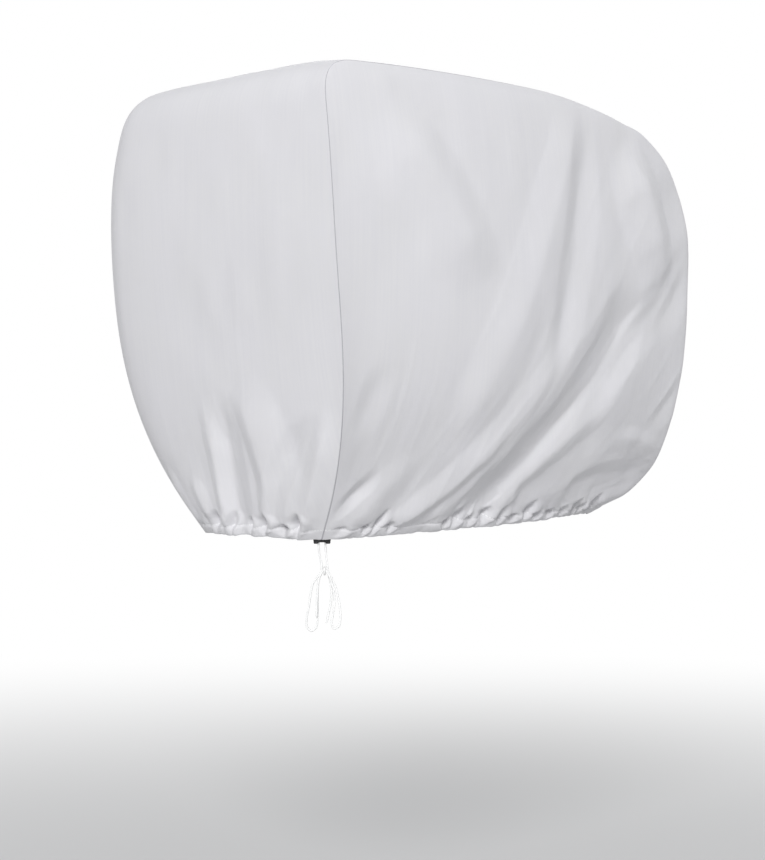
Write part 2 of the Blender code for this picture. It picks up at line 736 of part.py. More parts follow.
def main():
    clear_scene()
    cover = new_collection("outboard_motor_cover")
    helpers = new_collection("lock_shapes")
    cloth = material("cover_cloth", COLOURS["cloth"], 0.85)
    string = material("drawstring_cord", COLOURS["cord"], 0.8)
    plastic = material("lock_plastic", COLOURS["plastic"], 0.4)
    foot = build_panels(cover, cloth)
    place = cord_frame(foot)
    cord("drawstring_a", CORD_A, place, cover, string)
    cord("drawstring_b", CORD_B, place, cover, string)
    wrap(place, cover, string)
    cord_lock(place, cover, helpers, plastic)
    for helper in helpers.objects:
        helper.hide_render = True
        helper.display_type = "WIRE"
    helpers.hide_render = True


main()
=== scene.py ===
import math
import random

import bpy
import numpy as np
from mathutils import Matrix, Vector


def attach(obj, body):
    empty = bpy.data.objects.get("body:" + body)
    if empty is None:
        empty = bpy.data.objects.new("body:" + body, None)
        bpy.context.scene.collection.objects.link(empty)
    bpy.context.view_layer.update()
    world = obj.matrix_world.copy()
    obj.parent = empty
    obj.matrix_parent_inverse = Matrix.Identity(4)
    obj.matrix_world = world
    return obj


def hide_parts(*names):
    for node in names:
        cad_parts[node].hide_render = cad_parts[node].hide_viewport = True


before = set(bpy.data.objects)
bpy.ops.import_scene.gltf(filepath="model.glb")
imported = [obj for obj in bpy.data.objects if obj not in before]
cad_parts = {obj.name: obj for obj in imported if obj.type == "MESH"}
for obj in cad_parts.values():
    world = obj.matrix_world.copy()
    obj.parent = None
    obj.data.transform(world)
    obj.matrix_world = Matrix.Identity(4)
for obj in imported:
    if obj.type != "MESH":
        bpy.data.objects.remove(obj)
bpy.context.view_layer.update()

# Fitted cloth cover for an outboard motor: two side panels, a centre panel that runs from the rear hem
# over the top to the front hem, and a drawstring with a bow and a cord lock.
# +X is forward to the boat, +Y is port, and the cover's rear starboard seam faces the camera.

view = {
    "aim": (-0.0405, 0.0405, -0.445),  # the point in the middle of the view
    "heading": 45.0,  # degrees from +X towards +Y
    "distance": 2.497,
    "lens": 76.5,
}

# The seam between a side panel and the centre panel, seen from the side: its corners from the rear hem
# over the top to the front hem. A corner's rounding starts at reach from it, and the run after it
# stands out by bow.
seamCorners = [
    {"x": -0.295, "z": -0.578, "reach": 0.0, "bow": 0.030},  # rear foot
    {"x": -0.368, "z": -0.015, "reach": 0.045, "bow": 0.005},  # rear corner of the top
    {"x": 0.100, "z": -0.008, "reach": 0.095, "bow": 0.0},
    {"x": 0.332, "z": -0.075, "reach": 0.140, "bow": 0.004},  # front shoulder
    {"x": 0.304, "z": -0.520, "reach": 0.050, "bow": 0.0},
    {"x": 0.212, "z": -0.563, "reach": 0.0, "bow": 0.0},  # front foot
]

# Half the width from seam to seam
halfWidth = {
    "widestHeight": -0.26,
    "widest": (0.212, 0.198),  # at the rear and at the front
    "foot": 0.110,
    "footPower": 2.6,  # higher keeps the cover wide for longer on its way down
    "top": 0.188,  # at the ends of the top
    "topBulge": 0.012,  # how much wider the top is in its middle
    "topPower": 2.5,
}

# The centre strip beside its seams, at shares of the seam from the rear hem: how far it rises from the
# seam, and how steeply it leaves it
rimColumns = ("share", "rise", "slope")
rimRows = [
    (0.00, 0.024, 0.60),
    (0.05, 0.020, 0.60),
    (0.15, 0.015, 0.60),
    (0.27, 0.013, 0.60),
    (0.31, 0.007, 0.50),
    (0.35, 0.008, 0.27),
    (0.55, 0.009, 0.25),
    (0.65, 0.012, 0.32),
    (0.72, 0.017, 0.45),
    (0.85, 0.019, 0.46),
    (0.90, 0.024, 0.65),
    (0.95, 0.030, 0.90),
    (1.00, 0.031, 1.00),
]

cover = {
    "hemHeight": 0.0115,  # of the drawstring channel
    "hemRadius": 0.0017,  # of its rounded lower edge
    "hemRound": 0.011,  # how far the hem turns out beside each seam
    "sideBulge": 0.030,  # of a side panel's hem, in its middle
    "bulgePower": 1.5,  # how gently it starts at the seams
    "fullPower": 2.4,  # the same just above the hem, where the ends are fuller
    "fullReach": 0.07,
    "belly": 0.11,  # height over which a side panel grows out of its hem
    "sideCrown": 0.006,
    "rises": (0.012, 0.018),  # of a side panel beside its rear and front seams
    "slopes": (0.5, 1.7, 1.2),  # at its rear, front and top seams
    "taut": 0.05,  # slope at the rear starboard seam, where the cloth is drawn flat
    "tautFrom": -0.37,  # towards the front from here it grows slack
    "tautReach": 0.12,
    "levelFrom": -0.38,  # below this the rear and the front bulge straight out
    "levelReach": 0.10,
    "seamStep": 0.00125,
    "seamSoft": 0.006,  # smoothing along the seam
    "seamCalm": 0.030,  # folds die out this far from a seam
    "slumpAt": (-0.368, 0.205, -0.035),  # the corner that has sunk a little
    "slump": (0.003, -0.004, -0.004),
    "slumpReach": 0.060,
    "groove": (0.0004, 0.0008),  # depth and half width of the groove at a seam
}

seamSteps = {
    "run": 25,  # points along each run
    "turn": 11,  # points round each corner
}

meshSize = {
    "rowsUp": 262,
    "acrossSide": 340,
    "rowsRear": 206,
    "rowsTop": 80,
    "rowsFront": 160,
    "acrossCentre": 200,
}

# How much denser the rows stand at start and end, and over what share of the way
meshCrowd = {
    "rowsUp": (2.2, 2.0, 0.09, 0.012),
    "acrossSide": (3.0, 3.0, 0.010, 0.010),
    "rowsRear": (2.2, 0.6, 0.09, 0.05),
    "rowsTop": (0.8, 0.8, 0.05, 0.05),
    "rowsFront": (2.2, 0.3, 0.09, 0.05),
    "acrossCentre": (3.0, 3.0, 0.012, 0.012),
}

lumpTable = (97, 89)  # random values each way before they repeat
lumpShift = (31.4, 47.7)


def say(message):
    print(f"cover: {message}")


def ease(t):
    t = np.clip(t, 0.0, 1.0)
    return t * t * (3 - 2 * t)


def bell(t):
    return np.exp(-(t**2))


def lengthsAlong(points):
    steps = np.linalg.norm(np.diff(points, axis=0), axis=1)
    return np.concatenate([[0.0], np.cumsum(steps)])


def through(knots, values, at):
    # a smooth curve through every row of values
    slopes = np.gradient(values, knots, axis=0, edge_order=1)
    i = np.clip(np.searchsorted(knots, at, side="right") - 1, 0, len(knots) - 2)
    step = (knots[i + 1] - knots[i])[:, None]
    t = (at - knots[i])[:, None] / step
    return (
        (2 * t**3 - 3 * t**2 + 1) * values[i]
        + (t**3 - 2 * t**2 + t) * step * slopes[i]
        + (3 * t**2 - 2 * t**3) * values[i + 1]
        + (t**3 - t**2) * step * slopes[i + 1]
    )


def crowded(way):
    # shares from 0 to 1, closer together at the ends
    count = meshSize[way]
    start, end, startReach, endReach = meshCrowd[way]
    t = np.linspace(0.0, 1.0, 4001)
    density = 1 + start * np.exp(-t / startReach) + end * np.exp((t - 1) / endReach)
    total = np.concatenate([[0.0], np.cumsum((density[1:] + density[:-1]) / 2)])
    return np.interp(np.linspace(0.0, 1.0, count + 1), total / total[-1], t)


def lumps(a, b, size, seed):
    # smooth random lumps of about that size, from -1 to 1
    wide, high = lumpTable
    table = np.random.default_rng(seed).uniform(-1, 1, (wide, high))
    x, y = a / size + lumpShift[0], b / size + lumpShift[1]
    i, j = np.floor(x).astype(int), np.floor(y).astype(int)
    s, t = x - i, y - j
    s, t = s**3 * (s * (6 * s - 15) + 10), t**3 * (t * (6 * t - 15) + 10)
    i, j, k, m = i % wide, j % high, (i + 1) % wide, (j + 1) % high
    lower = table[i, j] * (1 - s) + table[k, j] * s
    upper = table[i, m] * (1 - s) + table[k, m] * s
    return lower * (1 - t) + upper * t


def placed(name, data):
    made = bpy.data.objects.new(name, data)
    bpy.context.collection.objects.link(made)
    return made


# The camera and the cords come first

def makeCamera():
    heading = math.radians(view["heading"])
    ahead = Vector((math.cos(heading), math.sin(heading), 0.0))
    lens = bpy.data.cameras.new("camera")
    lens.lens = view["lens"]
    made = placed("camera", lens)
    made.location = Vector(view["aim"]) - ahead * view["distance"]
    made.rotation_mode = "QUATERNION"
    made.rotation_quaternion = ahead.to_track_quat("-Z", "Y")
    bpy.context.scene.camera = made


cord = {
    "radius": 0.0013,
    "footIn": 0.0130,  # the hanging cords lie this far in from the hem's corner
    "sides": 32,
    "step": 0.00042,
    "strands": 8,  # of the braid, each way round
    "pitch": 0.0030,  # length in which a strand passes one neighbour
    "relief": 0.13,
    "wrapAt": (0.0030, -0.0384, 0.0002),
    "wrapSize": (0.0043, 0.0056),
}

# Routes in metres from the foot of the seam: (right, up, in), right as seen from outside the corner
routeA = [
    (-0.0180, 0.0080, -0.0092), (-0.0150, 0.0144, -0.0086), (-0.0098, 0.0180, -0.0044),
    (-0.0052, 0.0148, -0.0008), (-0.0042, 0.0085, 0.0000), (-0.0042, 0.0015, 0.0000),
    (-0.0042, -0.0065, 0.0000), (-0.0033, -0.0180, 0.0000), (-0.0004, -0.0320, 0.0000),
    (-0.0010, -0.0390, -0.0002), (-0.0055, -0.0460, 0.0000), (-0.0105, -0.0530, 0.0000),
    (-0.0140, -0.0680, 0.0000), (-0.0165, -0.0840, 0.0000), (-0.0188, -0.0970, 0.0005),
    (-0.0186, -0.1060, 0.0010), (-0.0136, -0.1115, 0.0015), (-0.0080, -0.1085, 0.0015),
    (-0.0058, -0.0980, 0.0012), (-0.0056, -0.0750, 0.0012), (-0.0050, -0.0570, 0.0016),
    (-0.0032, -0.0470, 0.0026), (-0.0010, -0.0419, 0.0032), (0.0010, -0.0390, 0.0027),
    (0.0030, -0.0381, 0.0023), (0.0050, -0.0390, 0.0027), (0.0070, -0.0422, 0.0032),
    (0.0094, -0.0500, 0.0022), (0.0112, -0.0620, 0.0010), (0.0108, -0.0760, 0.0005),
    (0.0080, -0.0900, 0.0000), (0.0052, -0.1020, 0.0000),
]
routeB = [
    (0.0180, 0.0080, -0.0109), (0.0150, 0.0144, -0.0080), (0.0098, 0.0180, -0.0042),
    (0.0052, 0.0148, -0.0008), (0.0042, 0.0085, 0.0000), (0.0042, 0.0015, 0.0000),
    (0.0042, -0.0065, 0.0000), (0.0048, -0.0180, 0.0000), (0.0064, -0.0320, 0.0000),
    (0.0074, -0.0395, 0.0002), (0.0114, -0.0465, 0.0005), (0.0152, -0.0550, 0.0000),
    (0.0194, -0.0700, -0.0005), (0.0220, -0.0860, -0.0010), (0.0222, -0.0980, -0.0015),
    (0.0196, -0.1065, -0.0020), (0.0146, -0.1085, -0.0025), (0.0118, -0.1030, -0.0028),
    (0.0132, -0.0920, -0.0030), (0.0152, -0.0780, -0.0032), (0.0146, -0.0650, -0.0034),
    (0.0122, -0.0540, -0.0036), (0.0094, -0.0455, -0.0038), (0.0070, -0.0414, -0.0034),
    (0.0050, -0.0386, -0.0026), (0.0030, -0.0377, -0.0019), (0.0010, -0.0386, -0.0026),
    (-0.0010, -0.0414, -0.0034), (-0.0038, -0.0490, -0.0036), (-0.0052, -0.0600, -0.0032),
    (-0.0062, -0.0780, -0.0028), (-0.0066, -0.0940, -0.0026),
]


def besideFoot(row):
    # a place given from the foot of the rear starboard seam
    x, z, half = seamCorners[0]["x"], seamCorners[0]["z"], halfWidth["foot"]
    slant = math.sqrt(0.5)
    right, up, inward = row[0], row[1], row[2] + cord["footIn"]
    return (x + slant * (right + inward), -half + slant * (inward - right), z + up)


def smoothRoute(points):
    points = np.array(points, float)
    run = lengthsAlong(points)
    at = np.linspace(0.0, run[-1], round(run[-1] / cord["step"]) + 1)
    return through(run, points, at)


def braidedTube(name, line, closed, look):
    # a tube along the line whose skin shows the crossing strands of a braid
    count, sides = len(line), cord["sides"]
    after = np.roll(line, -1, axis=0) if closed else np.concatenate([line[1:], line[-1:]])
    before = np.roll(line, 1, axis=0) if closed else np.concatenate([line[:1], line[:-1]])
    ahead = after - before
    ahead /= np.linalg.norm(ahead, axis=1)[:, None]
    across = np.zeros_like(line)
    first = np.cross(ahead[0], (0.31, 0.87, 0.38))
    across[0] = first / np.linalg.norm(first)
    for k in range(1, count):
        kept = across[k - 1] - ahead[k] * np.dot(ahead[k], across[k - 1])
        across[k] = kept / np.linalg.norm(kept)
    other = np.cross(ahead, across)
    turn = np.arange(sides) / sides
    run = lengthsAlong(line)
    one = cord["strands"] / 2 * turn[None, :] + run[:, None] / cord["pitch"]
    two = cord["strands"] / 2 * turn[None, :] - run[:, None] / cord["pitch"]
    strand = np.sqrt(np.abs(np.sin(np.pi * one) * np.sin(np.pi * two)))
    radius = cord["radius"] * (1 - cord["relief"] + cord["relief"] * strand)
    if not closed:
        end = np.minimum(run, run[-1] - run)[:, None] / (0.7 * cord["radius"])
        radius = radius * np.sqrt(1 - np.clip(1 - end, 0.0, 0.9) ** 2)
    angle = 2 * np.pi * turn[None, :, None]
    skin = line[:, None] + radius[..., None] * (
        np.cos(angle) * across[:, None] + np.sin(angle) * other[:, None]
    )
    index = np.arange(count * sides).reshape(count, sides)
    if closed:
        index = np.concatenate([index, index[:1]])
    beside = np.roll(index, -1, axis=1)
    quads = np.stack([index[:-1], beside[:-1], beside[1:], index[1:]], axis=2).reshape(-1, 4)
    faces = quads.tolist()
    if not closed:
        faces += [index[0, ::-1].tolist(), index[-1].tolist()]
    mesh = bpy.data.meshes.new(name)
    mesh.from_pydata(skin.reshape(-1, 3).tolist(), [], faces)
    mesh.shade_smooth()
    mesh.materials.append(look)
    return placed(name, mesh)


def wrapLine():
    right, up, inward = cord["wrapAt"]
    high, deep = cord["wrapSize"]
    count = round(2 * math.pi * (high + deep) / 2 / cord["step"])
    angle = 2 * np.pi * np.arange(count) / count
    rows = [(right, up + high * math.sin(a), inward + deep * math.cos(a)) for a in angle]
    return np.array([besideFoot(row) for row in rows])


# Materials

def newMaterial(name):
    made = bpy.data.materials.new(name)
    made.use_nodes = True
    tree = made.node_tree
    return made, tree, tree.nodes["Principled BSDF"]


def node(tree, kind, **settings):
    made = tree.nodes.new(kind)
    for key, value in settings.items():
        if key in made.inputs:
            made.inputs[key].default_value = value
        else:
            setattr(made, key, value)
    return made


def maths(tree, how, *terms, clamp=False):
    made = tree.nodes.new("ShaderNodeMath")
    made.operation = how
    made.use_clamp = clamp
    for socket, value in zip(made.inputs, terms):
        if isinstance(value, (int, float)):
            socket.default_value = value
        else:
            tree.links.new(value, socket)
    return made.outputs[0]


def blendColours(tree, share, under, over):
    # one colour over another, each a socket or three numbers
    made = tree.nodes.new("ShaderNodeMix")
    made.data_type = "RGBA"
    tree.links.new(share, made.inputs["Factor"])
    for name, colour in (("A", under), ("B", over)):
        if isinstance(colour, tuple):
            made.inputs[name].default_value = (*colour, 1.0)
        else:
            tree.links.new(colour, made.inputs[name])
    return made.outputs["Result"]


def wave(tree, along, spacing):
    return maths(tree, "SINE", maths(tree, "MULTIPLY", along, 2 * math.pi / spacing))


clothLook = {
    "light": (0.66, 0.655, 0.685),
    "dark": (0.61, 0.607, 0.640),
    "warm": (0.655, 0.652, 0.660),
    "thread": 0.00062,  # spacing of the threads, in metres
    "rib": 0.0031,  # spacing of the faint upright ribs
    "ribRuns": 6.0,  # how often a rib changes, for each metre of its length
    "ribGain": 1.1,  # contrast of the ribs in the colour
    "ribLess": -0.35,
    "ribShow": 0.85,
    "cloud": 9.0,  # soft patches for each metre
    "weaveDepth": 0.00012,
    "ribRelief": 0.6,  # shares of that depth
    "weaveRelief": 0.5,
    "relief": 0.35,  # how strongly it catches the light
    "roughness": 0.58,
    "roughSpread": 0.10,
    "sheen": 0.18,
    "sheenRoughness": 0.45,
    "shine": 0.35,
    # painted shade: a dark line along each seam, where the cloth lies in a groove
    "seamShadeColour": (0.40, 0.395, 0.42),
    "seamWide": 0.0010,
    "stitchAt": 0.0122,  # height of the stitching above the hem's edge
    "stitchWide": 0.0005,
    "stitchEvery": 0.0034,
    "stitchLong": -0.4,  # lower makes the stitches longer, from 1 to -1
    "stitchShade": (0.80, 0.80, 0.81),
    "hemShade": (0.52, 0.515, 0.53),  # painted shade: the cloth darker in patches near the hem
    "hemShadeHigh": 0.010,
    "hemShadeShow": 0.5,
}


def clothMaterial():
    made, tree, shader = newMaterial("cover_cloth_oxford")
    look = clothLook
    place = node(tree, "ShaderNodeUVMap", uv_map="weave")
    parts = node(tree, "ShaderNodeSeparateXYZ")
    tree.links.new(place.outputs["UV"], parts.inputs["Vector"])
    across, up = parts.outputs["X"], parts.outputs["Y"]

    # plain weave: warp and weft threads pass over each other in turn
    weave = maths(tree, "MULTIPLY", wave(tree, across, look["thread"]), wave(tree, up, look["thread"]))

    # ribs: some upright threads are fuller than their neighbours
    stretch = node(tree, "ShaderNodeVectorMath", operation="MULTIPLY")
    tree.links.new(place.outputs["UV"], stretch.inputs[0])
    stretch.inputs[1].default_value = (1.0 / look["rib"], look["ribRuns"], 0.0)
    slub = node(tree, "ShaderNodeTexNoise", Scale=1.0, Detail=2.0, Roughness=0.6)
    tree.links.new(stretch.outputs["Vector"], slub.inputs["Vector"])
    cloud = node(tree, "ShaderNodeTexNoise", Scale=look["cloud"], Detail=3.0, Roughness=0.55)
    tree.links.new(place.outputs["UV"], cloud.inputs["Vector"])

    tint = blendColours(tree, cloud.outputs["Fac"], look["light"], look["warm"])
    rib = slub.outputs["Fac"]
    shade = maths(tree, "MULTIPLY_ADD", rib, look["ribGain"], look["ribLess"], clamp=True)
    ribbed = blendColours(tree, maths(tree, "MULTIPLY", shade, look["ribShow"]), tint, look["dark"])

    # painted shade near the hem, its row of stitches, and painted shade in the groove where the panels
    # are sewn together
    edges = node(tree, "ShaderNodeUVMap", uv_map="edges")
    split = node(tree, "ShaderNodeSeparateXYZ")
    tree.links.new(edges.outputs["UV"], split.inputs["Vector"])
    fromSeam, fromHem = split.outputs["X"], split.outputs["Y"]
    # painted shade: within a centimetre of the hem's edge the cloth is darkened in patches
    low = maths(tree, "LESS_THAN", fromHem, look["hemShadeHigh"])
    shadedHem = maths(tree, "MULTIPLY", low, cloud.outputs["Fac"])
    colour = blendColours(tree, maths(tree, "MULTIPLY", shadedHem, look["hemShadeShow"]), ribbed, look["hemShade"])
    apart = maths(tree, "ABSOLUTE", maths(tree, "SUBTRACT", fromHem, look["stitchAt"]))
    dashes = wave(tree, across, look["stitchEvery"])
    stitch = maths(tree, "LESS_THAN", apart, look["stitchWide"])
    stitch = maths(tree, "MULTIPLY", stitch, maths(tree, "GREATER_THAN", dashes, look["stitchLong"]))
    colour = blendColours(tree, stitch, colour, look["stitchShade"])
    # painted shade in the groove along the seams
    seamShade = maths(tree, "LESS_THAN", fromSeam, look["seamWide"])
    colour = blendColours(tree, seamShade, colour, look["seamShadeColour"])
    tree.links.new(colour, shader.inputs["Base Color"])

    woven = maths(tree, "MULTIPLY", weave, look["weaveRelief"])
    height = maths(tree, "MULTIPLY_ADD", rib, look["ribRelief"], woven)
    bump = node(tree, "ShaderNodeBump", Strength=look["relief"], Distance=look["weaveDepth"])
    tree.links.new(height, bump.inputs["Height"])
    tree.links.new(bump.outputs["Normal"], shader.inputs["Normal"])

    least = look["roughness"] - look["roughSpread"] / 2
    rough = maths(tree, "MULTIPLY_ADD", cloud.outputs["Fac"], look["roughSpread"], least)
    tree.links.new(rough, shader.inputs["Roughness"])
    shader.inputs["Sheen Weight"].default_value = look["sheen"]
    shader.inputs["Sheen Roughness"].default_value = look["sheenRoughness"]
    shader.inputs["Specular IOR Level"].default_value = look["shine"]
    return made


cordLook = {
    "colours": ((0.90, 0.90, 0.89), (0.80, 0.80, 0.80)),
    "grain": 900.0,  # specks for each metre
    "relief": 0.4,
    "depth": 0.0001,
    "roughness": 0.7,
    "sheen": 0.2,
}

lockLook = {
    "colours": ((0.012, 0.012, 0.013), (0.022, 0.022, 0.024)),
    "grain": 1600.0,
    "relief": 0.2,
    "depth": 0.00008,
    "roughness": 0.42,
    "sheen": 0.0,
}


def grainyMaterial(name, look):
    made, tree, shader = newMaterial(name)
    spots = node(tree, "ShaderNodeTexCoord")
    grain = node(tree, "ShaderNodeTexNoise", Scale=look["grain"], Detail=2.0)
    tree.links.new(spots.outputs["Object"], grain.inputs["Vector"])
    colour = blendColours(tree, grain.outputs["Fac"], *look["colours"])
    tree.links.new(colour, shader.inputs["Base Color"])
    bump = node(tree, "ShaderNodeBump", Strength=look["relief"], Distance=look["depth"])
    tree.links.new(grain.outputs["Fac"], bump.inputs["Height"])
    tree.links.new(bump.outputs["Normal"], shader.inputs["Normal"])
    shader.inputs["Roughness"].default_value = look["roughness"]
    shader.inputs["Sheen Weight"].default_value = look["sheen"]
    return made


# The smooth cover

def bowed(start, end, bow, t):
    # from start to end, bowed to the right of a way that runs down
    start, end, t = np.array(start), np.array(end), t[:, None]
    way = end - start
    aside = np.array([-way[1], way[0]]) / np.linalg.norm(way)
    return start + t * way + aside * bow * 4 * t * (1 - t)


def seamOutline():
    # the seam seen from the side, and the numbers of the points where it turns onto the top, in the
    # middle of the rear corner, and off it again, just before the front shoulder
    spots = [np.array([corner["x"], corner["z"]]) for corner in seamCorners]
    line, turns = np.zeros((0, 2)), []
    for k, corner in enumerate(seamCorners[:-1]):
        length = np.linalg.norm(spots[k + 1] - spots[k])
        last = 1 - seamCorners[k + 1]["reach"] / length
        t = np.linspace(corner["reach"] / length, last, seamSteps["run"])
        run = bowed(spots[k], spots[k + 1], corner["bow"], t)
        if k > 0:
            r = np.linspace(0, 1, seamSteps["turn"] + 2)[1:-1, None]
            turns.append(len(line))
            bend = (1 - r) ** 2 * line[-1] + 2 * r * (1 - r) * spots[k] + r**2 * run[0]
            line = np.concatenate([line, bend])
        line = np.concatenate([line, run])
    return line, turns[0] + seamSteps["turn"] // 2, turns[2] - 1


def halfAt(x, z):
    size, rearTop, shoulder = halfWidth, seamCorners[1], seamCorners[3]
    share = (x - rearTop["x"]) / (shoulder["x"] - rearTop["x"])
    widest = size["widest"][0] + (size["widest"][1] - size["widest"][0]) * share
    top = size["top"] + size["topBulge"] * (1 - (2 * share - 1) ** 2)
    foot = seamCorners[0]["z"] + (seamCorners[-1]["z"] - seamCorners[0]["z"]) * share
    risen = np.clip((z - size["widestHeight"]) / (rearTop["z"] - size["widestHeight"]), 0, 1)
    dropped = np.clip((size["widestHeight"] - z) / (size["widestHeight"] - foot), 0, 1)
    drawnIn = (widest - size["foot"]) * dropped ** size["footPower"]
    return widest + (top - widest) * risen ** size["topPower"] - drawnIn


def seamCurve():
    # the seam in fine steps, softened a little
    line, rearTurn, frontTurn = seamOutline()
    x, z = line.T
    share = lengthsAlong(line) / lengthsAlong(line)[-1]
    rim = dict(zip(rimColumns, np.array(rimRows).T))
    rise, slope = [np.interp(share, rim["share"], rim[name]) for name in ("rise", "slope")]
    table = np.stack([x, z, halfAt(x, z), rise, slope], axis=1)
    run = lengthsAlong(table[:, :3])
    step = cover["seamStep"]
    at = np.arange(0.0, run[-1] + step / 2, step) * run[-1] / (step * round(run[-1] / step))
    fine = through(run, table, np.clip(at, 0.0, run[-1]))
    reach = round(3 * cover["seamSoft"] / step)
    weights = bell(np.arange(-reach, reach + 1) * step / cover["seamSoft"] / math.sqrt(2))
    weights /= weights.sum()
    before = 2 * fine[:1] - fine[reach:0:-1]
    after = 2 * fine[-1:] - fine[-2:-reach - 2:-1]
    padded = np.concatenate([before, fine, after])
    soft = np.stack([np.convolve(column, weights, "valid") for column in padded.T], axis=1)
    return at, soft, run[rearTurn], run[frontTurn]


seamAt, seamFine, runRear, runFront = seamCurve()


def seamRead(at):
    return np.stack([np.interp(at, seamAt, column) for column in seamFine.T], axis=1)


def seamPlaces(rows, side):
    return np.stack([rows[:, 0], side * rows[:, 2], rows[:, 1]], axis=1)


def roundIn(distance, rise, slope):
    return rise * np.tanh(slope * distance / rise)


def slumped(grid):
    off = np.linalg.norm(grid - np.array(cover["slumpAt"]), axis=-1, keepdims=True)
    return grid + np.array(cover["slump"]) * bell(off / cover["slumpReach"])


def sideSurface(side):
    # columns from rear to front, rows from hem to top edge
    v, u = crowded("rowsUp"), crowded("acrossSide")
    total = seamAt[-1]
    rear = seamPlaces(seamRead(v * runRear), side)
    top = seamPlaces(seamRead(runRear + u * (runFront - runRear)), side)
    front = seamPlaces(seamRead(total - v * (total - runFront)), side)
    hem = rear[0] + u[:, None] * (front[0] - rear[0])
    fromEnd = np.minimum(hem[:, 0] - rear[0, 0], front[0, 0] - hem[:, 0])
    broad = cover["sideBulge"] * np.sin(np.pi * u) ** cover["bulgePower"]
    corner = roundIn(fromEnd, cover["hemRound"], 1.0)
    corner += cover["sideBulge"] * (1 - np.abs(2 * u - 1) ** cover["fullPower"]) - broad
    hem[:, 1] += side * broad

    p, q = u[:, None, None], v[None, :, None]
    seams = (1 - p) * rear[None] + p * front[None]
    edges = (1 - q) * hem[:, None] + q * top[:, None]
    low = (1 - p) * rear[0] + p * front[0]
    high = (1 - p) * rear[-1] + p * front[-1]
    grid = seams + edges - (1 - q) * low - q * high

    fromRear = np.linalg.norm(grid - rear[None], axis=2)
    fromFront = np.linalg.norm(grid - front[None], axis=2)
    fromTop = np.linalg.norm(grid - top[:, None], axis=2)
    rise = cover["rises"][0] + (cover["rises"][1] - cover["rises"][0]) * u[:, None]
    slack = cover["taut"] if side < 0 else cover["slopes"][0]
    out = roundIn(fromRear, rise, slack) / rise
    out = out * roundIn(fromFront, rise, cover["slopes"][1]) / rise
    out = out * roundIn(fromTop, rise, cover["slopes"][2])
    crown = np.sin(np.pi * u[:, None]) * np.sin(np.pi * v[None, :])
    aboveHem = np.linalg.norm(grid - hem[:, None], axis=2)
    grid[..., 1] += side * (out + cover["sideCrown"] * crown) * ease(aboveHem / cover["belly"])
    grid[..., 1] += side * corner[:, None] * bell(aboveHem / cover["fullReach"])
    return slumped(grid)


def centreSurface():
    # rows from rear hem over the top to front hem, columns from starboard to port
    total = seamAt[-1]
    rear = crowded("rowsRear") * runRear
    top = runRear + crowded("rowsTop") * (runFront - runRear)
    front = total - crowded("rowsFront")[::-1] * (total - runFront)
    rows = seamRead(np.concatenate([rear, top[1:], front[1:]]))
    x, z, half, rise, slope = rows.T
    ahead = np.stack([np.gradient(x), np.gradient(z)], axis=1)
    ahead /= np.linalg.norm(ahead, axis=1)[:, None]
    level = ease((cover["levelFrom"] - z) / cover["levelReach"])[:, None]
    upright = np.stack([np.zeros_like(z), np.sign(ahead[:, 1])], axis=1)
    ahead = ahead + (upright - ahead) * level
    q = 2 * crowded("acrossCentre")[None, :] - 1
    y = half[:, None] * q
    rise, slope = rise[:, None], slope[:, None]
    slack = ease((x[:, None] - cover["tautFrom"]) / cover["tautReach"])
    taut = cover["taut"] + (slope - cover["taut"]) * slack
    fromPort, fromStarboard = half[:, None] - y, half[:, None] + y
    out = roundIn(fromPort, rise, slope) * np.tanh(taut * fromStarboard / rise)
    grid = [x[:, None] - ahead[:, 1:] * out, y, z[:, None] + ahead[:, :1] * out]
    return slumped(np.stack(grid, axis=2))


def normalsOf(grid):
    faces = np.cross(grid[1:, 1:] - grid[:-1, :-1], grid[:-1, 1:] - grid[1:, :-1])
    normal = np.zeros_like(grid)
    for i in (slice(0, -1), slice(1, None)):
        for j in (slice(0, -1), slice(1, None)):
            normal[i, j] += faces
    return normal / np.linalg.norm(normal, axis=2, keepdims=True)


# Folds as seen from outside. start and end are shares of the panel: 0 to 1 from its left edge to its
# right one, and 0 to 1 from the top down to the hem. bow is in shares of the fold's length. left and
# right are the widths of its flanks and high is its height, below 0 for a trough, all in millimetres.
# right, and a bow above 0, are on the right of a fold that runs down.
foldColumns = ("start", "end", "bow", "left", "right", "high", "crisp")

